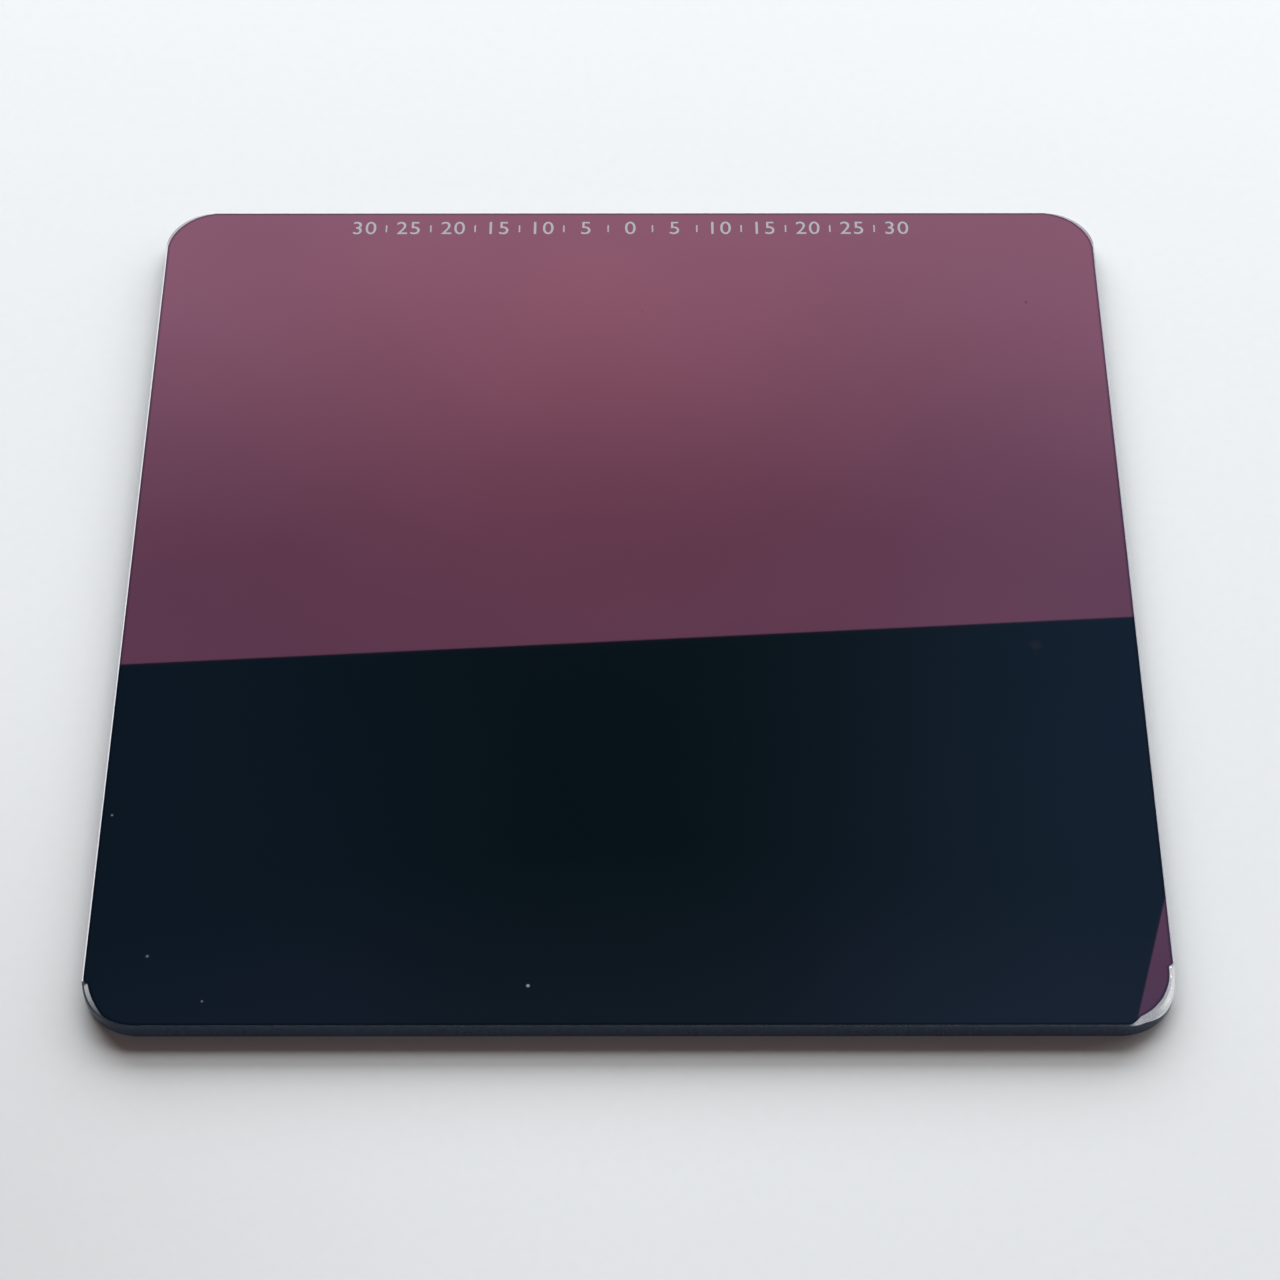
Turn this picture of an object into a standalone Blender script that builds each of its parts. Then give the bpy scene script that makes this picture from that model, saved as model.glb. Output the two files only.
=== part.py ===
# Square neutral density filter: one plate of coated glass with ground arrises.
# Metres, +Z up. The origin is the middle of the rear face, which lies on z = 0. The coated
# front face looks along +Z, and +Y points to the edge that carries the marks.

import math
from collections import namedtuple

import bmesh
import bpy
from mathutils import Vector

# Driving dimensions
plate_side = 0.100
plate_thickness = 0.0020

# The arris along the straight sides, the same on both faces
side_arris_width = 0.00015
side_arris_depth = 0.00012

# Each corner is ground by hand, so no two are alike. Its wall is an arc, and the cut that takes
# off its front edge is another. The outline goes round anticlockwise, seen from the front, so
# each corner has a side that it comes from and a side that it goes on to. For both there is the
# inset of the cut from that side, where a negative one is an arc that would pass outside it, how
# far the cut runs past the wall's arc, where a negative run stops short on the arc, and the
# taper, which is the width that the cut gains for its length from that end. The slope is the
# depth that the cut gains for its width.
CornerGrind = namedtuple("CornerGrind", "wall_radius cut_radius insets runs tapers slope")

blunt = 3.0  # the taper of an end where the grinder was set down or lifted off
far_right = CornerGrind(0.00470, 0.00550, (0.00015, 0.00015), (0.00020, 0.00020), (blunt, blunt), 0.45)
far_left = CornerGrind(0.00465, 0.00555, (0.00015, 0.00010), (0.00020, 0.00020), (blunt, blunt), 0.45)
near_left = CornerGrind(0.00520, 0.00760, (0.00042, -0.00150), (-0.00050, 0.00020), (blunt, blunt), 0.52)
near_right = CornerGrind(0.00510, 0.00544, (0.00051, 0.00052), (-0.00055, 0.00130), (0.60, blunt), 0.72)

# The rear face's arris is even: this wide across each corner's diagonal
rear_arris_width = 0.00045
rear_slope = 0.50

# How finely the outline is divided
corner_steps = 36
lead_steps = 6
lead_length = 0.00140  # of the finely divided stretch on each side of a corner

# Surface finish
coating_colour = (0.045, 0.016, 0.026, 1.0)
coating_roughness = 0.03
ground_colour = (0.42, 0.43, 0.45, 1.0)
ground_roughness = 0.45
wall_colour = (0.020, 0.026, 0.036, 1.0)
wall_roughness = 0.22

# The corners in the order that the outline passes them. Each is made in the quarter where x
# and y are positive, and then turned into its own.
corners = (far_right, far_left, near_left, near_right)


def clear_scene():
    for thing in list(bpy.data.objects):
        bpy.data.objects.remove(thing, do_unlink=True)


def make_material(name, colour, roughness, metallic=0.0):
    material = bpy.data.materials.new(name)
    material.use_nodes = True
    material.diffuse_color = colour
    shader = material.node_tree.nodes["Principled BSDF"]
    shader.inputs["Base Color"].default_value = colour
    shader.inputs["Roughness"].default_value = roughness
    shader.inputs["Metallic"].default_value = metallic
    return material


def rear_grind(corner):
    """The even cut on the rear face, on the wall that this corner has."""
    wider_than_sides = rear_arris_width - math.sqrt(2) * side_arris_width
    cut_radius = corner.wall_radius + wider_than_sides / (math.sqrt(2) - 1)
    insets = (side_arris_width, side_arris_width)
    return CornerGrind(corner.wall_radius, cut_radius, insets, (0, 0), (blunt, blunt), rear_slope)


def cut_reach(corner, wall_point, outward):
    """How far the cut's arc, or its straight run along a side, lies in from a point of the wall."""
    half = plate_side / 2
    arc_centre = Vector((half - inset - corner.cut_radius for inset in corner.insets))
    to_point = wall_point - arc_centre
    along = to_point.dot(outward)
    aside_squared = to_point.length_squared - along**2
    reach = along - math.sqrt(max(corner.cut_radius**2 - aside_squared, 0))
    crossing = to_point - reach * outward
    for side in (0, 1):
        if crossing[1 - side] < 0:
            return (wall_point[side] - half + corner.insets[side]) / outward[side]
    return reach


def cut_width(corner, wall_point, outward, runs):
    """The width across the cut here, which is never less than the arris of the sides."""
    widths = [cut_reach(corner, wall_point, outward)]
    for run, limit, taper in zip(runs, corner.runs, corner.tapers):
        widths.append(side_arris_width + taper * (limit - run))
    return max(side_arris_width, min(widths))


def wall_points(corner):
    """Points of the wall round one corner, as (point, outward direction, run).

    The run is how far the point lies past each end of the wall's arc: negative on the arc.
    """
    half = plate_side / 2
    arc_centre = half - corner.wall_radius
    quarter_arc = corner.wall_radius * math.pi / 2
    points = []
    for step in range(lead_steps):
        lead = lead_length * (1 - step / lead_steps)
        point = Vector((half, arc_centre - lead))
        points.append((point, Vector((1, 0)), (lead, -quarter_arc - lead)))
    for step in range(corner_steps + 1):
        share = step / corner_steps
        outward = Vector((math.cos(share * math.pi / 2), math.sin(share * math.pi / 2)))
        point = Vector((arc_centre, arc_centre)) + corner.wall_radius * outward
        points.append((point, outward, (-share * quarter_arc, (share - 1) * quarter_arc)))
    for step in range(1, lead_steps + 1):
        lead = lead_length * step / lead_steps
        point = Vector((arc_centre - lead, half))
        points.append((point, Vector((0, 1)), (-quarter_arc - lead, lead)))
    return points


def turned(point, quarter_turns):
    for _ in range(quarter_turns):
        point = Vector((-point.y, point.x))
    return point


def arris_rings(grinds):
    """A face's outline, and the wall's edge below it as pairs of a point and its depth."""
    face_outline, wall_edge = [], []
    for quarter_turns, corner in enumerate(grinds):
        for wall_point, outward, runs in wall_points(corner):
            width = cut_width(corner, wall_point, outward, runs)
            depth = side_arris_depth + corner.slope * (width - side_arris_width)
            face_outline.append(turned(wall_point - width * outward, quarter_turns))
            wall_edge.append((turned(wall_point, quarter_turns), depth))
    return face_outline, wall_edge


def add_ring(mesh, points):
    verts = [mesh.verts.new(point) for point in points]
    following = verts[1:] + verts[:1]
    return [mesh.edges.new(pair) for pair in zip(verts, following)]


def build_plate():
    front_outline, front_edge = arris_rings(corners)
    rear_outline, rear_edge = arris_rings([rear_grind(corner) for corner in corners])

    mesh = bmesh.new()
    rings = [
        add_ring(mesh, [(p.x, p.y, 0) for p in rear_outline]),
        add_ring(mesh, [(p.x, p.y, depth) for p, depth in rear_edge]),
        add_ring(mesh, [(p.x, p.y, plate_thickness - depth) for p, depth in front_edge]),
        add_ring(mesh, [(p.x, p.y, plate_thickness) for p in front_outline]),
    ]
    for lower, upper in zip(rings, rings[1:]):
        bmesh.ops.bridge_loops(mesh, edges=lower + upper)
    for end in (rings[0], rings[-1]):
        bmesh.ops.contextual_create(mesh, geom=end)
    bmesh.ops.recalc_face_normals(mesh, faces=mesh.faces)
    assign_finishes(mesh)

    data = bpy.data.meshes.new("filter_plate")
    mesh.to_mesh(data)
    mesh.free()
    data.shade_smooth()
    data.set_sharp_from_angle(angle=math.radians(12))
    plate = bpy.data.objects.new("filter_plate", data)
    bpy.context.scene.collection.objects.link(plate)
    data.materials.append(make_material("coated_face", coating_colour, coating_roughness, 0.6))
    data.materials.append(make_material("ground_arris", ground_colour, ground_roughness))
    data.materials.append(make_material("dark_glass_wall", wall_colour, wall_roughness))
    return plate


def assign_finishes(mesh):
    """Coating on the two faces, ground glass on the arrises, bare dark glass on the wall."""
    coated, ground, wall = range(3)
    for face in mesh.faces:
        face.normal_update()
        upright = abs(face.normal.z)
        if upright > 0.999:
            face.material_index = coated
        elif upright > 0.01:
            face.material_index = ground
        else:
            face.material_index = wall


clear_scene()
build_plate()
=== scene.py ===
import math
import bpy
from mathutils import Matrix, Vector


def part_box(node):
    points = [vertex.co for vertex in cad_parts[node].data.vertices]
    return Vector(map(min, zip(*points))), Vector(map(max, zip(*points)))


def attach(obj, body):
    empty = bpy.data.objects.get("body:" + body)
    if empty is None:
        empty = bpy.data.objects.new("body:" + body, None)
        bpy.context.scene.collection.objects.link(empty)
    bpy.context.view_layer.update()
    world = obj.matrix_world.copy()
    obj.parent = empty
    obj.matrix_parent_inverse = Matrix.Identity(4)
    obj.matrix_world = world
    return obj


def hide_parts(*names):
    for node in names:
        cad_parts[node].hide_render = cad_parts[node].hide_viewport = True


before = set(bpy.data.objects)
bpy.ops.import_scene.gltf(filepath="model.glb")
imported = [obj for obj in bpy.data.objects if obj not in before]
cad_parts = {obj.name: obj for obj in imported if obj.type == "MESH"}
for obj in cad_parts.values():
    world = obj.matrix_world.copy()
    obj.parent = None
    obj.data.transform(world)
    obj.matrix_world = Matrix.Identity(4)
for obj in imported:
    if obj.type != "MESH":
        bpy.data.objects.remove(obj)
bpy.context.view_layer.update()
plateLow, plateHigh = (Vector(corner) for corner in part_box("filter_plate"))
print("frame loaded")


# Short ways to write node trees

def feed(tree, socket, value):
    # A value is another node's output, or a plain number, colour, vector or material
    if isinstance(value, bpy.types.NodeSocket):
        tree.links.new(value, socket)
    else:
        socket.default_value = value


def place(tree, kind, inputs=None, **settings):
    node = tree.nodes.new(kind)
    for name, value in settings.items():
        setattr(node, name, value)
    for key, value in (inputs or {}).items():
        feed(tree, node.inputs[key], value)
    return node


def sumsIn(tree):
    # do("ADD", a, b) is one Math node of this tree, and gives its output
    def do(operation, *values):
        inputs = dict(enumerate(values))
        return place(tree, "ShaderNodeMath", inputs, operation=operation).outputs[0]
    return do


def blendColours(tree, share, first, second, how="MIX"):
    node = place(tree, "ShaderNodeMix", data_type="RGBA", blend_type=how)
    feed(tree, node.inputs["Factor"], share)
    for socket, colour in zip((s for s in node.inputs if s.type == "RGBA"), (first, second)):
        feed(tree, socket, colour)
    return next(socket for socket in node.outputs if socket.type == "RGBA")


def shadeColour(tree, colour, shade):
    return blendColours(tree, 1.0, colour, shade, "MULTIPLY")


def ramp(tree, value, fromLow, fromHigh, toLow=0.0, toHigh=1.0, how="SMOOTHSTEP"):
    inputs = {"Value": value, "From Min": fromLow, "From Max": fromHigh,
              "To Min": toLow, "To Max": toHigh}
    return place(tree, "ShaderNodeMapRange", inputs, interpolation_type=how).outputs["Result"]


usualNoise = (0.3, 0.7)  # most of a noise texture's values lie between these


def spread(tree, noise, low, high):
    return ramp(tree, noise, *usualNoise, low, high, "LINEAR")


socketKinds = {
    int: "NodeSocketInt", float: "NodeSocketFloat", Vector: "NodeSocketVector",
    bpy.types.Material: "NodeSocketMaterial",
}


def newTree(name, kind, values, outputs):
    # The inputs take their names, kinds and defaults from the dictionary of values
    tree = bpy.data.node_groups.new(name, kind)
    for label, value in values.items():
        socketKind = socketKinds[type(value)]
        socket = tree.interface.new_socket(label, in_out="INPUT", socket_type=socketKind)
        socket.default_value = value
    for label, socketKind in outputs.items():
        tree.interface.new_socket(label, in_out="OUTPUT", socket_type=socketKind)
    given = place(tree, "NodeGroupInput").outputs
    result = place(tree, "NodeGroupOutput").inputs
    return tree, given, result


def growPiece(name, tree, values):
    # Runs a Geometry Nodes tree once and keeps the plain mesh that it makes
    piece = bpy.data.objects.new(name, bpy.data.meshes.new(name))
    bpy.context.scene.collection.objects.link(piece)
    modifier = piece.modifiers.new(tree.name, "NODES")
    modifier.node_group = tree
    for item in tree.interface.items_tree:
        if item.item_type == "SOCKET" and item.in_out == "INPUT":
            modifier[item.identifier] = values[item.name]
    evaluated = piece.evaluated_get(bpy.context.evaluated_depsgraph_get())
    mesh = bpy.data.meshes.new_from_object(evaluated)
    piece.modifiers.remove(modifier)
    piece.data = mesh
    mesh.name = name
    return piece


# Effects that more than one finish uses

def fleckGroup():
    # Sparse specks: one in some of the cells of a grid, each with its own size
    values = {"Vector": Vector((0, 0, 0)), "Cell Size": 0.01, "Speck Radius": 0.0001,
              "Share of Cells": 0.3, "Smallest": 0.4, "Core": 0.5}
    outputs = {"Mask": "NodeSocketFloat"}
    tree, given, result = newTree("strewnSpecks", "ShaderNodeTree", values, outputs)
    do = sumsIn(tree)
    cells = place(tree, "ShaderNodeTexVoronoi", {
        "Vector": given["Vector"], "Scale": do("DIVIDE", 1.0, given["Cell Size"])})
    luck = place(tree, "ShaderNodeSeparateColor", {"Color": cells.outputs["Color"]}).outputs
    chosen = do("LESS_THAN", luck["Red"], given["Share of Cells"])
    size = do("MULTIPLY", do("DIVIDE", given["Speck Radius"], given["Cell Size"]),
              ramp(tree, luck["Green"], 0.0, 1.0, given["Smallest"], 1.0, "LINEAR"))
    inside = ramp(tree, cells.outputs["Distance"], size, do("MULTIPLY", size, given["Core"]))
    feed(tree, result["Mask"], do("MULTIPLY", chosen, inside))
    return tree


def spotGroup():
    # One soft round mark at a given place
    values = {"Vector": Vector((0, 0, 0)), "Centre": Vector((0, 0, 0)), "Radius": 0.0003,
              "Softness": 0.5}
    outputs = {"Mask": "NodeSocketFloat"}
    tree, given, result = newTree("singleSpot", "ShaderNodeTree", values, outputs)
    do = sumsIn(tree)
    away = place(tree, "ShaderNodeVectorMath", {0: given["Vector"], 1: given["Centre"]},
                 operation="DISTANCE").outputs["Value"]
    core = do("MULTIPLY", given["Radius"], do("SUBTRACT", 1.0, given["Softness"]))
    feed(tree, result["Mask"], ramp(tree, away, given["Radius"], core))
    return tree


grit = {
    "grainDetail": 3.0,
    "grainRoughness": 0.7,
    "scratchSquash": (1.0, 1.0, 12.0),  # so that scratches run along the edge, not up it
    "scratchScale": 0.15,
    "scratchDetail": 2.0,
    "scratchDistortion": 0.4,
    "scratchEdge": (0.55, 0.62),
}


def grindGroup():
    # The frosting that grit leaves on glass: a fine grain with longer scratches through it
    values = {"Vector": Vector((0, 0, 0)), "Grain Size": 0.00005, "Scratch Share": 0.3}
    outputs = {"Height": "NodeSocketFloat", "Grain": "NodeSocketFloat"}
    tree, given, result = newTree("grindMarks", "ShaderNodeTree", values, outputs)
    do = sumsIn(tree)
    grain = place(tree, "ShaderNodeTexNoise", {
        "Vector": given["Vector"], "Scale": do("DIVIDE", 1.0, given["Grain Size"]),
        "Detail": grit["grainDetail"], "Roughness": grit["grainRoughness"]}).outputs["Fac"]
    squashed = place(tree, "ShaderNodeVectorMath", {0: given["Vector"], 1: grit["scratchSquash"]},
                     operation="MULTIPLY").outputs[0]
    scratch = place(tree, "ShaderNodeTexNoise", {
        "Vector": squashed, "Scale": do("DIVIDE", grit["scratchScale"], given["Grain Size"]),
        "Detail": grit["scratchDetail"], "Distortion": grit["scratchDistortion"]}).outputs["Fac"]
    scratched = ramp(tree, scratch, *grit["scratchEdge"])
    height = do("ADD", grain, do("MULTIPLY", scratched, given["Scratch Share"]))
    feed(tree, result["Height"], height)
    feed(tree, result["Grain"], grain)
    return tree


strewnSpecks = fleckGroup()
singleSpot = spotGroup()
grindMarks = grindGroup()
print("shared effects ready")


def useGroup(tree, group, inputs):
    return place(tree, "ShaderNodeGroup", inputs, node_tree=group).outputs


def attribute(tree, name):
    return place(tree, "ShaderNodeAttribute", attribute_name=name).outputs["Fac"]


def newMaterial(name, uniform=None):
    # Gives the material, its tree, its shader's sockets and the place on the object
    material = bpy.data.materials.new(name)
    material.use_nodes = True
    tree = material.node_tree
    sockets = tree.nodes["Principled BSDF"].inputs
    for label, value in (uniform or {}).items():
        sockets[label].default_value = value
    where = place(tree, "ShaderNodeTexCoord").outputs["Object"]
    return material, tree, sockets, where


# Finishes of the plate

coating = {
    "plum": (0.209, 0.0865, 0.138, 1.0),
    "polish": 0.009,
    "paintedReflectionSoftness": 1.0,
    "cloudSize": 0.022,
    "cloudDetail": 2.0,
    "cloudShade": (0.97, 1.03),
    "rimShade": (0.44, 0.60, 0.63, 1.0),
    "rimCore": 0.75,
    "stainColour": (0.045, 0.018, 0.036, 1.0),
    "stainSoftness": 0.8,
    "speckSoftness": 0.7,
    "dustColour": (0.26, 0.30, 0.31, 1.0),
    "dustRoughness": 0.7,
    "dustCovers": 0.3,
    "dustSpacing": 0.009,
    "dustRadius": 0.00009,
    "dustShare": 0.35,
    "dustStrength": 0.08,
}

# Painted reflection: soft patches where the coating's colour shifts warmer or more violet,
# standing in for brighter parts of the room that it reflects, in metres on the plate: x, y,
# radius, colour
frontPaintedReflections = (
    (-0.0050, 0.0240, 0.0480, (0.262, 0.0945, 0.1410, 1.0)),
    (0.0620, -0.0040, 0.0480, (0.200, 0.0945, 0.1560, 1.0)),
)
rearPaintedReflections = (
    (0.0140, -0.0120, 0.0520, (0.240, 0.0920, 0.1400, 1.0)),
    (-0.0560, 0.0200, 0.0440, (0.200, 0.0920, 0.1500, 1.0)),
)

# Specks that lie on the front, and stains in it, in metres on the plate: x, y, radius, strength
frontSpecks = (
    (-0.0489, -0.0274, 0.00018, 0.30),
    (-0.0442, -0.0427, 0.00022, 0.30),
    (-0.0388, -0.0474, 0.00018, 0.30),
    (-0.0092, -0.0458, 0.00023, 0.75),
    (0.0399, -0.0077, 0.00085, 0.030),
)
frontStains = (
    (0.0421, 0.0370, 0.00024, 0.50),
    (0.0448, 0.0312, 0.00018, 0.25),
    (0.0013, 0.0357, 0.00016, 0.35),
)


def coatedFinish(name, paintedReflections, specks, stains, height):
    material, tree, shader, where = newMaterial(name)
    do = sumsIn(tree)

    def spot(x, y, radius, softness):
        return useGroup(tree, singleSpot, {
            "Vector": where, "Centre": (x, y, height), "Radius": radius,
            "Softness": softness})["Mask"]

    tint = coating["plum"]
    # Painted reflection: the coating's colour shifts in soft warmer or more violet patches
    for x, y, radius, colour in paintedReflections:
        tint = blendColours(tree, spot(x, y, radius, coating["paintedReflectionSoftness"]), tint, colour)
    clouds = place(tree, "ShaderNodeTexNoise", {
        "Vector": where, "Scale": 1.0 / coating["cloudSize"],
        "Detail": coating["cloudDetail"]}).outputs["Fac"]
    tint = shadeColour(tree, tint, spread(tree, clouds, *coating["cloudShade"]))
    rim = ramp(tree, attribute(tree, "onRim"), 0.0, coating["rimCore"])
    tint = blendColours(tree, rim, tint, shadeColour(tree, tint, coating["rimShade"]))
    strewn = useGroup(tree, strewnSpecks, {
        "Vector": where, "Cell Size": coating["dustSpacing"],
        "Speck Radius": coating["dustRadius"], "Share of Cells": coating["dustShare"]})["Mask"]
    dust = do("MULTIPLY", strewn, coating["dustStrength"])
    for x, y, radius, strength in specks:
        speck = do("MULTIPLY", spot(x, y, radius, coating["speckSoftness"]), strength)
        dust = do("MAXIMUM", dust, speck)
    for x, y, radius, strength in stains:
        stain = do("MULTIPLY", spot(x, y, radius, coating["stainSoftness"]), strength)
        tint = blendColours(tree, stain, tint, coating["stainColour"])
    covered = ramp(tree, dust, 0.0, coating["dustCovers"])
    feed(tree, shader["Base Color"], blendColours(tree, covered, tint, coating["dustColour"]))
    feed(tree, shader["Metallic"], do("SUBTRACT", 1.0, dust))
    feed(tree, shader["Roughness"], ramp(tree, dust, 0.0, 1.0, coating["polish"],
                                         coating["dustRoughness"], "LINEAR"))
    return material


ground = {
    "colour": (0.86, 0.87, 0.87, 1.0),
    # The far, left and near colours below are painted light: a painted highlight on the left,
    # painted shade near and on the far crescents, a painted pinkish reflection far
    "farCrescentPaintedShade": (0.56, 0.45, 0.53, 1.0),
    "edgeColour": (0.82, 0.79, 0.84, 1.0),
    "farEdgePaintedReflection": (0.88, 0.76, 0.88, 1.0),
    "leftEdgePaintedHighlight": (0.98, 0.96, 1.00, 1.0),
    "nearEdgePaintedShade": (0.50, 0.54, 0.61, 1.0),
    "farFrom": (0.0440, 0.0455),  # in y, as nearFrom is
    "nearFrom": (-0.0480, -0.0495),
    "leftFrom": (0.0, -0.048),  # in x
    "wideFrom": (0.00016, 0.00034),  # across the arris
    "bareFrom": (-0.1, 0.2),  # in levels past the frost's edge
    "sheen": 0.92,
    "specular": 0.5,
    "grainSize": 0.00006,
    "grainDepth": 0.000004,
    "scratchShare": 0.5,
    "roughness": (0.16, 0.30),
    "shade": (0.86, 1.0),
    "bump": 0.5,
}

wall = {
    "colour": (0.050, 0.066, 0.092, 1.0),
    "specular": 0.25,
    "grainSize": 0.00009,
    "grainDepth": 0.000004,
    "scratchShare": 0.8,
    "roughness": (0.19, 0.32),
    "shade": (0.8, 1.2),
    "bump": 0.4,
}


def grindSurface(tree, shader, where, finish):
    # Puts the grit's marks in the roughness and the bump, and gives the colour's shade
    marks = useGroup(tree, grindMarks, {
        "Vector": where, "Grain Size": finish["grainSize"],
        "Scratch Share": finish["scratchShare"]})
    feed(tree, shader["Roughness"], spread(tree, marks["Grain"], *finish["roughness"]))
    bump = place(tree, "ShaderNodeBump", {
        "Height": marks["Height"], "Distance": finish["grainDepth"], "Strength": finish["bump"]})
    feed(tree, shader["Normal"], bump.outputs["Normal"])
    return spread(tree, marks["Grain"], *finish["shade"])


def groundFinish():
    # Frosted glass. Where it is narrow it takes a colour for each side, and where it is wide its
    # own. The side colours are painted light: a painted highlight on the left edge, painted shade
    # on the near edge, a painted pinkish reflection on the far edge and painted shade on the far
    # crescents
    material, tree, shader, where = newMaterial("groundArris")
    shade = grindSurface(tree, shader, where, ground)
    spot = place(tree, "ShaderNodeSeparateXYZ", {0: where}).outputs
    isLeft = ramp(tree, spot["X"], *ground["leftFrom"])
    isFar = ramp(tree, spot["Y"], *ground["farFrom"])
    isNear = ramp(tree, spot["Y"], *ground["nearFrom"])
    isWide = ramp(tree, attribute(tree, "arrisWidth"), *ground["wideFrom"])
    # Painted light: the left edge is painted brighter, the far edge pinker and the near edge
    # darker and bluer
    narrow = blendColours(tree, isLeft, ground["edgeColour"], ground["leftEdgePaintedHighlight"])
    narrow = blendColours(tree, isFar, narrow, ground["farEdgePaintedReflection"])
    narrow = blendColours(tree, isNear, narrow, ground["nearEdgePaintedShade"])
    # Painted shade: the far crescents are painted darker and more lilac
    wide = blendColours(tree, isFar, ground["colour"], ground["farCrescentPaintedShade"])
    colour = shadeColour(tree, blendColours(tree, isWide, narrow, wide), shade)

    # Past the frost's edge it looks as the wall does
    bare = ramp(tree, attribute(tree, "unfrosted"), *ground["bareFrom"])
    feed(tree, shader["Base Color"], blendColours(tree, bare, colour, wall["colour"]))
    feed(tree, shader["Metallic"], ramp(tree, bare, 0.0, 1.0, ground["sheen"], 0.0, "LINEAR"))
    feed(tree, shader["Specular IOR Level"], ramp(tree, bare, 0.0, 1.0, ground["specular"],
                                                  wall["specular"], "LINEAR"))
    return material


def wallFinish():
    # Bare dark glass, cut and lightly polished
    uniform = {"Specular IOR Level": wall["specular"]}
    material, tree, shader, where = newMaterial("darkGlassWall", uniform)
    shade = grindSurface(tree, shader, where, wall)
    feed(tree, shader["Base Color"], shadeColour(tree, wall["colour"], shade))
    return material


ink = {
    "colour": (0.42, 0.42, 0.47, 1.0),
    "roughness": 0.62,
    "thickness": 0.000010,
    "grainScale": 9000.0,
    "grainDetail": 2.0,
    "shade": (0.88, 1.06),
}


def inkFinish():
    material, tree, shader, where = newMaterial("greyInk", {"Roughness": ink["roughness"]})
    grain = place(tree, "ShaderNodeTexNoise", {
        "Vector": where, "Scale": ink["grainScale"], "Detail": ink["grainDetail"]})
    shade = spread(tree, grain.outputs["Fac"], *ink["shade"])
    feed(tree, shader["Base Color"], shadeColour(tree, ink["colour"], shade))
    return material


frontFace = coatedFinish("frontCoating", frontPaintedReflections, frontSpecks, frontStains, plateHigh.z)
rearFace = coatedFinish("rearCoating", rearPaintedReflections, (), (), plateLow.z)
groundArris = groundFinish()
darkGlassWall = wallFinish()
greyInk = inkFinish()
print("finishes ready")


# The plate: a cylinder's rings, each drawn out into a square with round corners. A hand-held
# grinder has cut a crescent into each corner's edge. Going round anticlockwise, a corner's first
# side is the one met first.
# Cut Radius and Insets: the cut's own arc, and how far it is set in from each side.
# Runs: how far it goes past the wall's arc, or stops short on it. Tapers: how fast it widens.
# Rolls: the share of its width that rolls over into the wall. Swell: how far its middle stands out
# from flat, as a share of its width.
# Frosts: the share of the roll that is frosted at each end of the arc. Below 0 is none yet, past 1
# is all of it, and with 0.0 for the second no part of the roll is frosted.

cornerSizes = {
    "Far Right": {
        "Wall Radius": 0.00470, "Cut Radius": 0.00550, "Slope": 0.45, "Swell": 0.0,
        "First Frost": 0.0, "Second Frost": 0.0,
        "First Inset": 0.00015, "First Run": 0.00020, "First Taper": 3.0, "First Roll": 0.40,
        "Second Inset": 0.00015, "Second Run": 0.00020, "Second Taper": 3.0, "Second Roll": 0.40},
    "Far Left": {
        "Wall Radius": 0.00465, "Cut Radius": 0.00555, "Slope": 0.45, "Swell": 0.0,
        "First Frost": 0.0, "Second Frost": 0.0,
        "First Inset": 0.00015, "First Run": 0.00020, "First Taper": 3.0, "First Roll": 0.40,
        "Second Inset": 0.00010, "Second Run": 0.00020, "Second Taper": 3.0, "Second Roll": 0.40},
    "Near Left": {
        "Wall Radius": 0.00520, "Cut Radius": 0.00760, "Slope": 0.52, "Swell": 0.0,
        "First Frost": 0.0, "Second Frost": 0.0,
        "First Inset": 0.00042, "First Run": -0.00055, "First Taper": 1.2, "First Roll": 0.45,
        "Second Inset": -0.00150, "Second Run": 0.00020, "Second Taper": 3.0, "Second Roll": 0.35},
    "Near Right": {
        "Wall Radius": 0.00510, "Cut Radius": 0.00544, "Slope": 0.72, "Swell": 0.13,
        "First Frost": -0.93, "Second Frost": 2.57,
        "First Inset": 0.00043, "First Run": -0.00068, "First Taper": 0.50, "First Roll": 0.22,
        "Second Inset": 0.00055, "Second Run": 0.00135, "Second Taper": 1.6, "Second Roll": 0.42},
}

plateValues = {
    "Side": plateHigh.x - plateLow.x,
    "Thickness": plateHigh.z - plateLow.z - ink["thickness"],
    "Side Arris Width": 0.00015,
    "Side Arris Depth": 0.00012,
    "Rear Arris Width": 0.00045,
    "Rear Slope": 0.50,
    "Rear Taper": 3.0,
    "Side Roll": 0.000015,
    "Grinding Wobble": 0.00005,
    "Wobble Pitch": 0.11,
    "Wobble Step": 11.0,  # from one corner's stretch of the noise to the next one's
    "Corner Steps": 48,
    "Lead Steps": 12,
    "Lead Length": 0.00140,
    "Rim Width": 0.00032,
    "Seed": 4,
    "Front Face": frontFace,
    "Rear Face": rearFace,
    "Arris": groundArris,
    "Wall": darkGlassWall,
}
plateValues.update({corner + " " + size: value
                    for corner, sizes in cornerSizes.items() for size, value in sizes.items()})

# The rings are levels, counted out from the middle of the wall. From the wall's edge it rolls
# over to the arris, and the rim is a band inside the face's outline.
wallEdge, rollEnd, arrisMiddle, faceOutline, rimEdge = 1, 4, 5, 6, 7
levelMargin = 0.25  # well inside the step from one level to the next


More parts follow.
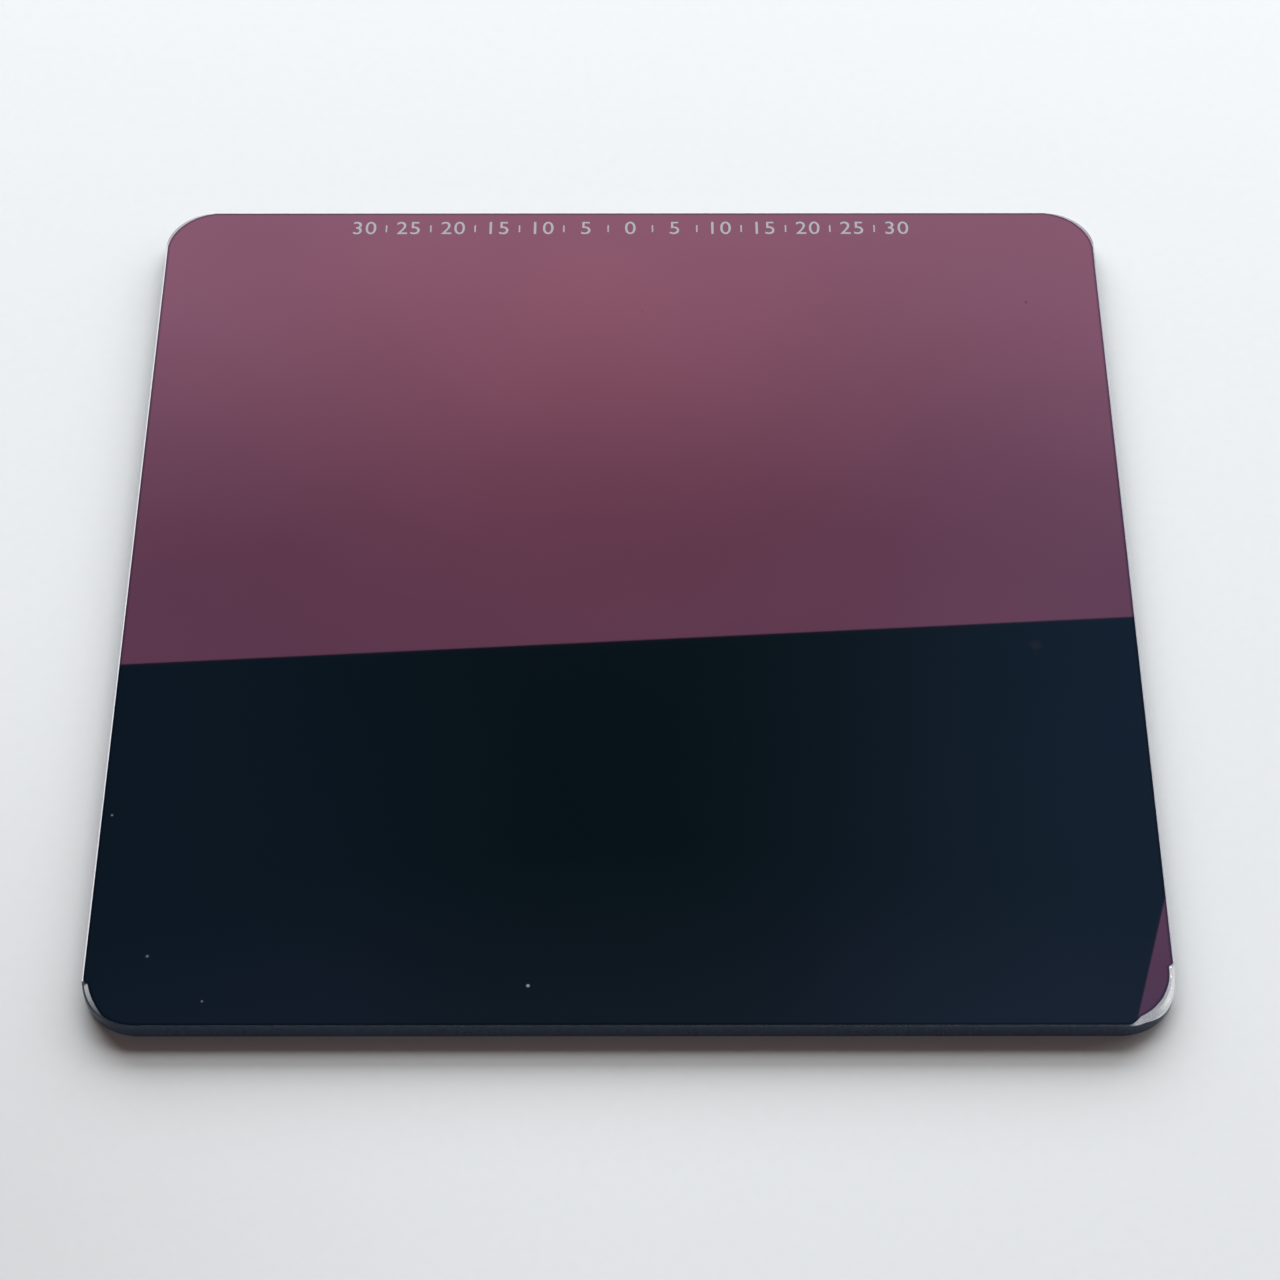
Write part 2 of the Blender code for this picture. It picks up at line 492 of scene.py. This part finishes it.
def plateTree(values):
    tree, given, result = newTree("squareOfGlass", "GeometryNodeTree", values,
                                  {"Geometry": "NodeSocketGeometry"})
    do = sumsIn(tree)
    steps, leads = given["Corner Steps"], given["Lead Steps"]
    cornerPoints = do("ADD", do("ADD", steps, 1), do("MULTIPLY", leads, 2))
    outlinePoints = do("MULTIPLY", cornerPoints, 4)
    bands = 2 * rimEdge - 1
    rings = place(tree, "GeometryNodeMeshCylinder", {
        "Vertices": outlinePoints, "Side Segments": bands, "Radius": 1.0, "Depth": bands})
    spot = place(tree, "ShaderNodeSeparateXYZ",
                 {0: place(tree, "GeometryNodeInputPosition").outputs[0]}).outputs
    level = do("ADD", do("ABSOLUTE", spot["Z"]), 0.5)
    isFront = do("GREATER_THAN", spot["Z"], 0.0)
    isFace = do("GREATER_THAN", level, faceOutline - levelMargin)

    # A point's corner, and its place on the way round it: lead, arc, lead
    turn = do("DIVIDE", do("ARCTAN2", spot["Y"], spot["X"]), math.tau)
    step = do("FLOORED_MODULO", do("ROUND", do("MULTIPLY", turn, outlinePoints)), outlinePoints)
    quarter = do("FLOOR", do("DIVIDE", step, cornerPoints))
    stage = do("SUBTRACT", step, do("MULTIPLY", quarter, cornerPoints))
    leadStep = do("DIVIDE", given["Lead Length"], leads)
    pastArc = do("SUBTRACT", stage, do("ADD", leads, steps))
    before = do("MULTIPLY", leadStep, do("MAXIMUM", do("SUBTRACT", leads, stage), 0.0))
    after = do("MULTIPLY", leadStep, do("MAXIMUM", pastArc, 0.0))
    onArc = do("MINIMUM", do("MAXIMUM", do("SUBTRACT", stage, leads), 0.0), steps)
    lean = do("MULTIPLY", do("DIVIDE", onArc, steps), math.pi / 2)
    sine, cosine = do("SINE", lean), do("COSINE", lean)

    def ofCorner(size):
        # The size that the point's own corner has
        switch = place(tree, "GeometryNodeIndexSwitch", data_type="FLOAT")
        while len(switch.index_switch_items) < len(cornerSizes):
            switch.index_switch_items.new()
        feed(tree, switch.inputs["Index"], quarter)
        for number, corner in enumerate(cornerSizes):
            feed(tree, switch.inputs[str(number)], given[corner + " " + size])
        return switch.outputs[0]

    def pick(condition, yes, no):
        return do("ADD", do("MULTIPLY", condition, yes),
                  do("MULTIPLY", do("SUBTRACT", 1.0, condition), no))

    def frontOrRear(front, rear):
        return pick(isFront, front, rear)

    def fromEndToEnd(size):
        # From its first value to its second, on the way round the arc
        ends = ofCorner("First " + size), ofCorner("Second " + size)
        return ramp(tree, onArc, 0.0, steps, *ends, "LINEAR")

    half = do("MULTIPLY", given["Side"], 0.5)
    side = given["Side Arris Width"]
    wallRadius = ofCorner("Wall Radius")
    wallCentre = do("SUBTRACT", half, wallRadius)
    wallX = do("SUBTRACT", do("ADD", wallCentre, do("MULTIPLY", wallRadius, cosine)), after)
    wallY = do("SUBTRACT", do("ADD", wallCentre, do("MULTIPLY", wallRadius, sine)), before)

    # How far the cut's arc, or its straight run along a side, lies in from the wall
    rearWidening = do("SUBTRACT", given["Rear Arris Width"], do("MULTIPLY", side, math.sqrt(2)))
    rearRadius = do("ADD", wallRadius, do("DIVIDE", rearWidening, math.sqrt(2) - 1))
    cutRadius = frontOrRear(ofCorner("Cut Radius"), rearRadius)
    lineX = do("SUBTRACT", half, frontOrRear(ofCorner("First Inset"), side))
    lineY = do("SUBTRACT", half, frontOrRear(ofCorner("Second Inset"), side))
    fromX = do("SUBTRACT", wallX, do("SUBTRACT", lineX, cutRadius))
    fromY = do("SUBTRACT", wallY, do("SUBTRACT", lineY, cutRadius))
    along = do("ADD", do("MULTIPLY", fromX, cosine), do("MULTIPLY", fromY, sine))
    aside = do("SUBTRACT", do("MULTIPLY", fromX, sine), do("MULTIPLY", fromY, cosine))
    chord = do("SUBTRACT", do("MULTIPLY", cutRadius, cutRadius), do("MULTIPLY", aside, aside))
    reach = do("SUBTRACT", along, do("SQRT", do("MAXIMUM", chord, 0.0)))
    beforeArc = do("LESS_THAN", do("SUBTRACT", fromY, do("MULTIPLY", reach, sine)), 0.0)
    afterArc = do("LESS_THAN", do("SUBTRACT", fromX, do("MULTIPLY", reach, cosine)), 0.0)
    reach = pick(afterArc, do("DIVIDE", do("SUBTRACT", wallY, lineY), sine), reach)
    reach = pick(beforeArc, do("DIVIDE", do("SUBTRACT", wallX, lineX), cosine), reach)
    walk = do("ADD", do("MULTIPLY", quarter, given["Wobble Step"]), given["Seed"])
    walk = do("ADD", do("MULTIPLY", stage, given["Wobble Pitch"]), walk)
    unevenness = place(tree, "ShaderNodeTexNoise", {"W": walk, "Scale": 1.0, "Detail": 2.0},
                       noise_dimensions="1D").outputs["Fac"]
    wobble = do("MULTIPLY", do("SUBTRACT", unevenness, 0.5), given["Grinding Wobble"])
    reach = do("ADD", reach, do("MULTIPLY", do("GREATER_THAN", reach, side),
                                do("MULTIPLY", isFront, wobble)))

    # The cut widens from each of its ends, and is never narrower than the arris of the sides
    toSecond = do("MULTIPLY", wallRadius, do("SUBTRACT", math.pi / 2, lean))
    pastFirst = do("SUBTRACT", before, do("MULTIPLY", wallRadius, lean))
    pastSecond = do("SUBTRACT", after, toSecond)
    for end, past in (("First", pastFirst), ("Second", pastSecond)):
        left = do("SUBTRACT", frontOrRear(ofCorner(end + " Run"), 0.0), past)
        taper = frontOrRear(ofCorner(end + " Taper"), given["Rear Taper"])
        reach = do("MINIMUM", reach, do("ADD", side, do("MULTIPLY", left, taper)))
    width = do("MAXIMUM", side, reach)
    widening = do("SUBTRACT", width, side)
    deepening = do("MULTIPLY", frontOrRear(ofCorner("Slope"), given["Rear Slope"]), widening)
    depth = do("ADD", given["Side Arris Depth"], deepening)

    # Each ring's inset from the wall, and how far it lies below the face
    roll = do("ADD", given["Side Roll"], do("MULTIPLY", fromEndToEnd("Roll"), widening))
    rollInset = do("MULTIPLY", roll, ramp(tree, level, wallEdge, rollEnd, how="LINEAR"))
    rollInset = do("MULTIPLY", rollInset, do("DIVIDE", rollInset, roll))
    rollDrop = ramp(tree, level, rollEnd, wallEdge, how="LINEAR")
    rollDrop = do("MULTIPLY", roll, do("MULTIPLY", rollDrop, rollDrop))
    onRimEdge = do("GREATER_THAN", level, rimEdge - levelMargin)
    rim = do("MULTIPLY", onRimEdge, given["Rim Width"])
    isMiddle = do("COMPARE", level, arrisMiddle, levelMargin)
    arrisInset = pick(isMiddle, do("MULTIPLY", do("ADD", roll, width), 0.5), rollInset)
    inset = pick(isFace, do("ADD", width, rim), arrisInset)
    slope = do("DIVIDE", depth, width)
    swell = do("MULTIPLY", do("MULTIPLY", isFront, ofCorner("Swell")), widening)
    drop = do("SUBTRACT", do("SUBTRACT", depth, do("MULTIPLY", slope, arrisInset)),
              do("MULTIPLY", isMiddle, swell))
    drop = do("MULTIPLY", do("SUBTRACT", 1.0, isFace), do("ADD", drop, rollDrop))
    height = frontOrRear(do("SUBTRACT", given["Thickness"], drop), drop)
    corner = place(tree, "ShaderNodeCombineXYZ", {
        "X": do("SUBTRACT", wallX, do("MULTIPLY", inset, cosine)),
        "Y": do("SUBTRACT", wallY, do("MULTIPLY", inset, sine)),
        "Z": height})
    turned = place(tree, "ShaderNodeVectorRotate",
                   {"Vector": corner.outputs[0], "Angle": do("MULTIPLY", quarter, math.pi / 2)},
                   rotation_type="Z_AXIS")

    # What the finishes need to know is kept on the mesh before its points move. A face's band is
    # the level of its outer ring, negative at the rear.
    frosted = do("MULTIPLY", fromEndToEnd("Frost"), rollEnd - wallEdge)
    frostEdge = do("MINIMUM", rollEnd, do("SUBTRACT", rollEnd, frosted))
    hasFrost = do("MULTIPLY", isFront, do("GREATER_THAN", ofCorner("Second Frost"), 0.0))
    kept = (
        ("arrisWidth", width, "POINT"),
        ("onRim", ramp(tree, level, rimEdge, faceOutline, how="LINEAR"), "POINT"),
        ("unfrosted", do("SUBTRACT", frostEdge, level), "POINT"),
        ("band", spot["Z"], "FACE"),
        ("arrisFrom", pick(hasFrost, wallEdge - levelMargin, rollEnd - levelMargin), "FACE"),
    )
    geometry = rings.outputs["Mesh"]
    for label, value, domain in kept:
        geometry = place(tree, "GeometryNodeStoreNamedAttribute",
                         {"Geometry": geometry, "Name": label, "Value": value},
                         domain=domain, data_type="FLOAT").outputs[0]
    geometry = place(tree, "GeometryNodeSetPosition",
                     {"Geometry": geometry, "Position": turned.outputs[0]}).outputs[0]
    geometry = place(tree, "GeometryNodeRealizeInstances", {0: geometry}).outputs[0]
    band, arrisFrom = (place(tree, "GeometryNodeInputNamedAttribute", {"Name": label},
                             data_type="FLOAT").outputs[0] for label in ("band", "arrisFrom"))
    faceFrom = faceOutline - levelMargin
    choices = (
        ("Wall", None),
        ("Arris", do("GREATER_THAN", do("ABSOLUTE", band), arrisFrom)),
        ("Front Face", do("GREATER_THAN", band, faceFrom)),
        ("Rear Face", do("LESS_THAN", band, -faceFrom)),
    )
    for finish, chosen in choices:
        inputs = {"Geometry": geometry, "Material": given[finish]}
        if chosen:
            inputs["Selection"] = chosen
        geometry = place(tree, "GeometryNodeSetMaterial", inputs).outputs[0]
    feed(tree, result["Geometry"], geometry)
    return tree


plate = growPiece("coated_plate", plateTree(plateValues), plateValues)
plate.data.shade_smooth()
plate.data.set_sharp_from_angle(angle=math.radians(22))
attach(plate, "root")
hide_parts("filter_plate")
print("plate made")


# The scale along the far edge: plain numbers with a tick between each two

scaleValues = {
    "Numbers Each Side": 6,
    "Spacing": 0.0048,
    "Value Step": 5,
    "Text Size": 0.0026,
    "Letter Spacing": 1.1,
    "Tick Height": 0.0010,
    "Tick Width": 0.00016,
    "Ink Thickness": ink["thickness"],
    "Weld Distance": 1e-7,
    "Middle": Vector((0.0, 0.0476, plateHigh.z - ink["thickness"])),
    "Ink": greyInk,
}


def scaleTree(values):
    tree, given, result = newTree("centringScale", "GeometryNodeTree", values,
                                  {"Geometry": "NodeSocketGeometry"})
    do = sumsIn(tree)
    each = given["Numbers Each Side"]

    def joined(*geometries):
        node = place(tree, "GeometryNodeJoinGeometry")
        for geometry in geometries:
            feed(tree, node.inputs[0], geometry)
        return node.outputs[0]

    # One number for each turn of the repeat zone
    zoneStart = tree.nodes.new("GeometryNodeRepeatInput")
    zoneEnd = tree.nodes.new("GeometryNodeRepeatOutput")
    zoneStart.pair_with_output(zoneEnd)
    feed(tree, zoneStart.inputs["Iterations"], do("ADD", do("MULTIPLY", each, 2), 1))
    number = do("SUBTRACT", zoneStart.outputs["Iteration"], each)
    label = place(tree, "FunctionNodeValueToString", data_type="INT")
    feed(tree, label.inputs[0], do("MULTIPLY", do("ABSOLUTE", number), given["Value Step"]))
    letters = place(tree, "GeometryNodeStringToCurves", {
        "String": label.outputs[0], "Size": given["Text Size"],
        "Character Spacing": given["Letter Spacing"]}, align_x="CENTER", align_y="MIDDLE")
    along = place(tree, "ShaderNodeCombineXYZ", {"X": do("MULTIPLY", number, given["Spacing"])})
    moved = place(tree, "GeometryNodeTransform", {
        "Geometry": letters.outputs[0], "Translation": along.outputs[0]})
    gathered = joined(moved.outputs[0], zoneStart.outputs["Geometry"])
    feed(tree, zoneEnd.inputs["Geometry"], gathered)
    outlines = place(tree, "GeometryNodeRealizeInstances", {0: zoneEnd.outputs["Geometry"]})
    numbers = place(tree, "GeometryNodeFillCurve", {"Curve": outlines.outputs[0]})

    # Ticks halfway between the numbers
    start = do("MULTIPLY", do("SUBTRACT", 0.5, each), given["Spacing"])
    places = place(tree, "GeometryNodeMeshLine", {
        "Count": do("MULTIPLY", each, 2),
        "Start Location": place(tree, "ShaderNodeCombineXYZ", {"X": start}).outputs[0],
        "Offset": place(tree, "ShaderNodeCombineXYZ", {"X": given["Spacing"]}).outputs[0]})
    tick = place(tree, "GeometryNodeMeshGrid", {
        "Size X": given["Tick Width"], "Size Y": given["Tick Height"],
        "Vertices X": 2, "Vertices Y": 2})
    spaced = place(tree, "GeometryNodeInstanceOnPoints", {
        "Points": places.outputs[0], "Instance": tick.outputs[0]})
    ticks = place(tree, "GeometryNodeRealizeInstances", {0: spaced.outputs[0]})

    # Flat shapes become a thin closed layer of ink
    flat = joined(ticks.outputs[0], numbers.outputs[0])
    raised = place(tree, "GeometryNodeExtrudeMesh", {
        "Mesh": flat, "Offset Scale": given["Ink Thickness"], "Individual": False})
    under = place(tree, "GeometryNodeFlipFaces", {"Mesh": flat})
    welded = place(tree, "GeometryNodeMergeByDistance", {
        "Geometry": joined(under.outputs[0], raised.outputs[0]),
        "Distance": given["Weld Distance"]})
    seated = place(tree, "GeometryNodeTransform", {
        "Geometry": welded.outputs[0], "Translation": given["Middle"]})
    whole = place(tree, "GeometryNodeRealizeInstances", {0: seated.outputs[0]})
    inked = place(tree, "GeometryNodeSetMaterial", {
        "Geometry": whole.outputs[0], "Material": given["Ink"]})
    feed(tree, result["Geometry"], inked.outputs[0])
    return tree


scale = growPiece("centring_scale", scaleTree(scaleValues), scaleValues)
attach(scale, "root")
print("scale made")


# Camera, as the photograph was taken

camera = {
    "place": (0.0011, -0.1880, 0.2558),
    "turn": (35.48, 0.03, -0.02),
    "lens": 89.2,
    "sensor": 36.0,
    "nearest": 0.01,
    "farthest": 50.0,
}


def addCamera():
    data = bpy.data.cameras.new("camera")
    data.lens = camera["lens"]
    data.sensor_width = camera["sensor"]
    data.clip_start = camera["nearest"]
    data.clip_end = camera["farthest"]
    viewer = bpy.data.objects.new("camera", data)
    viewer.location = camera["place"]
    viewer.rotation_euler = [math.radians(angle) for angle in camera["turn"]]
    bpy.context.scene.collection.objects.link(viewer)
    bpy.context.scene.camera = viewer


addCamera()


# The paper that it lies on

paper = {
    "reach": 4.0,
    "colour": (0.82, 0.85, 0.865, 1.0),
    "roughness": 0.85,
    "specular": 0.2,
    "fibreScale": 900.0,
    "fibreDetail": 3.0,
    "fibreShade": (0.985, 1.0),
    # A painted shadow: the paper is darker in a soft patch towards the lower left
    "paintedShadowPlace": (-0.078, -0.076, 0.0),
    "paintedShadowRadius": 0.080,
    "paintedShadowShare": 0.13,
    "fadeFrom": 0.20,
    "fadeTo": 0.65,
}
backdropColour = (0.93, 0.94, 0.945, 1.0)


def addFloor():
    reach = paper["reach"]
    mesh = bpy.data.meshes.new("floor")
    corners = [(-reach, -reach, 0), (reach, -reach, 0), (reach, reach, 0), (-reach, reach, 0)]
    mesh.from_pydata(corners, [], [(0, 1, 2, 3)])
    uniform = {"Roughness": paper["roughness"], "Specular IOR Level": paper["specular"]}
    material, tree, shader, where = newMaterial("palePaper", uniform)
    do = sumsIn(tree)
    fibre = place(tree, "ShaderNodeTexNoise", {
        "Vector": where, "Scale": paper["fibreScale"], "Detail": paper["fibreDetail"]})
    # Painted shadow: the paper's colour is darkened in a soft patch towards the lower left
    dim = useGroup(tree, singleSpot, {
        "Vector": where, "Centre": paper["paintedShadowPlace"], "Radius": paper["paintedShadowRadius"],
        "Softness": 1.0})["Mask"]
    shade = do("MULTIPLY", spread(tree, fibre.outputs["Fac"], *paper["fibreShade"]),
               ramp(tree, dim, 0.0, 1.0, 1.0, 1.0 - paper["paintedShadowShare"], "LINEAR"))
    feed(tree, shader["Base Color"], shadeColour(tree, paper["colour"], shade))

    # Far off, the camera and the polished face see the paper run into the backdrop
    away = place(tree, "ShaderNodeVectorMath", {0: where}, operation="LENGTH").outputs["Value"]
    path = place(tree, "ShaderNodeLightPath").outputs
    fade = do("MULTIPLY", ramp(tree, away, paper["fadeFrom"], paper["fadeTo"]),
              do("MAXIMUM", path["Is Camera Ray"], path["Is Glossy Ray"]))
    glow = place(tree, "ShaderNodeEmission", {"Color": backdropColour}).outputs[0]
    mixed = place(tree, "ShaderNodeMixShader", {
        0: fade, 1: tree.nodes["Principled BSDF"].outputs[0], 2: glow}).outputs[0]
    feed(tree, tree.nodes["Material Output"].inputs["Surface"], mixed)
    mesh.materials.append(material)
    floor = bpy.data.objects.new("floor", mesh)
    bpy.context.scene.collection.objects.link(floor)


addFloor()


# Light: two soft windows behind and a small one on the right, which no camera or polished face
# sees, and a room that the polished faces show instead

windows = {
    "upperWindow": {"place": (0.06, 1.00, 1.07), "width": 1.90, "height": 0.42, "power": 11.0},
    "lowerWindow": {"place": (0.04, 1.38, 0.55), "width": 2.80, "height": 0.70, "power": 55.0},
    "sideWindow": {"place": (0.97, 0.40, 0.30), "width": 0.50, "height": 0.40, "power": 2.2},
}
daylight = (0.97, 0.99, 1.0)


def addWindow(name, sizes):
    data = bpy.data.lights.new(name, "AREA")
    data.shape = "RECTANGLE"
    data.size = sizes["width"]
    data.size_y = sizes["height"]
    data.energy = sizes["power"]
    data.color = daylight
    lamp = bpy.data.objects.new(name, data)
    lamp.location = sizes["place"]
    lamp.rotation_euler = (-Vector(sizes["place"])).to_track_quat("-Z", "Y").to_euler()
    lamp.visible_glossy = False
    lamp.visible_camera = False
    bpy.context.scene.collection.objects.link(lamp)


for name, sizes in windows.items():
    addWindow(name, sizes)

room = {
    "windowBright": (1.15, 1.15, 1.15, 1.0),
    "windowDim": (0.51, 0.46, 0.54, 1.0),
    "windowDimRight": (0.61, 0.57, 0.64, 1.0),
    "ceiling": (0.32, 0.44, 0.59, 1.0),
    "sillLeft": (1.12, 1.07, 1.12, 1.0),
    "sillRight": (0.61, 0.53, 0.69, 1.0),
    "rightWall": (1.95, 2.00, 1.91, 1.0),
    "lowRight": (0.05, 0.045, 0.06, 1.0),
    "behind": (0.42, 0.43, 0.47, 1.0),
    "behindLeft": (0.022, 0.028, 0.040, 1.0),
    "darkPatch": (0.018, 0.026, 0.038, 1.0),
    "shade": (0.013, 0.080, 0.074, 1.0),
    "shadeLeft": (0.019, 0.105, 0.122, 1.0),
    "shadeRight": (0.038, 0.172, 0.200, 1.0),
    "shadeAbove": (0.016, 0.038, 0.047, 1.0),
    "fill": (0.092, 0.061, 0.049, 1.0),
    "lowFront": (0.73, 0.96, 1.31, 1.0),
}

# Where a part of the room fades in or out, in degrees round from straight behind the plate, with
# the right side positive
roomTurns = {
    "windowDimRight": (0.0, 16.0),
    "sillRight": (-25.0, 0.0),
    "frontFrom": (-56.0, -40.0),
    "aheadFrom": (-78.0, -64.0),
    "aheadTo": (60.0, 46.0),
    "behindLeft": (-74.0, -95.0),
    "rightWallFrom": (59.0, 70.0),
    "rightWallTo": (110.0, 76.0),
    "lowRightFrom": (50.0, 60.0),
    "lowRightTo": (74.0, 64.0),
    "shadeLeft": (-2.0, -16.0),
    "shadeRight": (0.0, 17.0),
}

# And the same in degrees above the horizon
roomHeights = {
    "sillTo": (8.0, 16.0),
    "windowDim": (45.9, 53.0),
    "ceiling": (54.0, 62.0),
    "rightWallFrom": (2.0, 9.0),
    "rightWallTo": (32.0, 18.0),
    "lowRightTo": (10.0, 3.0),
    "shadeAbove": (58.3, 61.5),
    "lowFrontTo": (13.0, 7.0),
}
lowFrontFrom = (-0.3, -0.7)  # in the ray's y

patchMiddle = Vector((-0.25, -0.68, 0.69))  # the direction of the dark patch
patchEdge = (40.0, 32.0)  # degrees away from its middle, where it starts and is full

# Where the shade's edges cross the front face, as two points of each edge in metres, and a point
# that lies in the shade
shadeEdges = (
    ((-0.0498, -0.0100), (0.0498, -0.0043)),
    ((0.0498, -0.0365), (0.0461, -0.0492)),
)
shadePoint = (0.0, -0.03)
shadeTop = 74.0  # degrees above the horizon
shadeStart = -42.0  # degrees round from straight behind the plate


def shadePlane(ends):
    # The plane through the eye's mirror image and one edge: its normal points into the shade
    eye = Vector(camera["place"])
    mirrored = Vector((eye.x, eye.y, 2 * plateHigh.z - eye.z))
    first, second, inside = (Vector((x, y, plateHigh.z)) - mirrored
                             for x, y in (*ends, shadePoint))
    normal = first.cross(second).normalized()
    return normal if normal.dot(inside) > 0 else -normal


def buildWorld():
    world = bpy.data.worlds.new("room")
    bpy.context.scene.world = world
    world.use_nodes = True
    tree = world.node_tree
    do = sumsIn(tree)
    ray = place(tree, "ShaderNodeTexCoord").outputs["Generated"]
    parts = place(tree, "ShaderNodeSeparateXYZ", {0: ray}).outputs
    elevation = do("DEGREES", do("ARCSINE", parts["Z"]))
    azimuth = do("DEGREES", do("ARCTAN2", parts["X"], parts["Y"]))

    def facing(direction):
        node = place(tree, "ShaderNodeVectorMath", {0: ray, 1: direction}, operation="DOT_PRODUCT")
        return node.outputs["Value"]

    def turned(part):
        return ramp(tree, azimuth, *roomTurns[part])

    def raised(part, how="SMOOTHSTEP"):
        return ramp(tree, elevation, *roomHeights[part], how=how)

    def blend(share, first, second, how="MIX"):
        # A name is one of the room's colours
        first, second = (room[colour] if isinstance(colour, str) else colour
                         for colour in (first, second))
        return blendColours(tree, share, first, second, how)

    # What is ahead: window, ceiling and sill
    dim = blend(turned("windowDimRight"), "windowDim", "windowDimRight")
    bright = blend(raised("windowDim"), "windowBright", dim)
    front = blend(raised("ceiling"), bright, "ceiling")
    front = blend(turned("frontFrom"), "behind", front)
    sill = blend(turned("sillRight"), "sillLeft", "sillRight")
    front = blend(raised("sillTo"), sill, front)

    # What is round the sides and behind
    behind = blend(turned("behindLeft"), "behind", "behindLeft")
    ahead = do("MULTIPLY", turned("aheadFrom"), turned("aheadTo"))
    seen = blend(ahead, behind, front)
    onRight = do("MULTIPLY", turned("rightWallFrom"), turned("rightWallTo"))
    onRight = do("MULTIPLY", onRight,
                 do("MULTIPLY", raised("rightWallFrom"), raised("rightWallTo")))
    seen = blend(onRight, seen, "rightWall")
    low = do("MULTIPLY", turned("lowRightFrom"), turned("lowRightTo"))
    seen = blend(do("MULTIPLY", low, raised("lowRightTo")), seen, "lowRight")
    patchCosines = (math.cos(math.radians(angle)) for angle in patchEdge)
    seen = blend(ramp(tree, facing(patchMiddle), *patchCosines), seen, "darkPatch")

    # The dark shade that the lower half of the front face shows
    inShade = do("MULTIPLY", do("LESS_THAN", elevation, shadeTop),
                 do("GREATER_THAN", azimuth, shadeStart))
    for ends in shadeEdges:
        inShade = do("MULTIPLY", inShade, do("GREATER_THAN", facing(shadePlane(ends)), 0.0))
    shade = blend(turned("shadeLeft"), "shade", "shadeLeft")
    shade = blend(turned("shadeRight"), shade, "shadeRight")
    shade = blend(raised("shadeAbove", "LINEAR"), shade, "shadeAbove", "ADD")
    seen = blend(inShade, seen, shade)

    # Polished faces see the room, matt ones the fill, and the camera the backdrop
    path = place(tree, "ShaderNodeLightPath").outputs
    fromFront = do("MULTIPLY", raised("lowFrontTo"), ramp(tree, parts["Y"], *lowFrontFrom))
    fill = blend(fromFront, "fill", "lowFront")
    light = blend(path["Is Glossy Ray"], fill, seen)
    light = blend(path["Is Camera Ray"], light, backdropColour)
    background = tree.nodes["Background"]
    feed(tree, background.inputs["Color"], light)
    background.inputs["Strength"].default_value = 1.0


buildWorld()
bpy.context.scene.view_settings.view_transform = "Standard"
print("camera, floor and light ready")
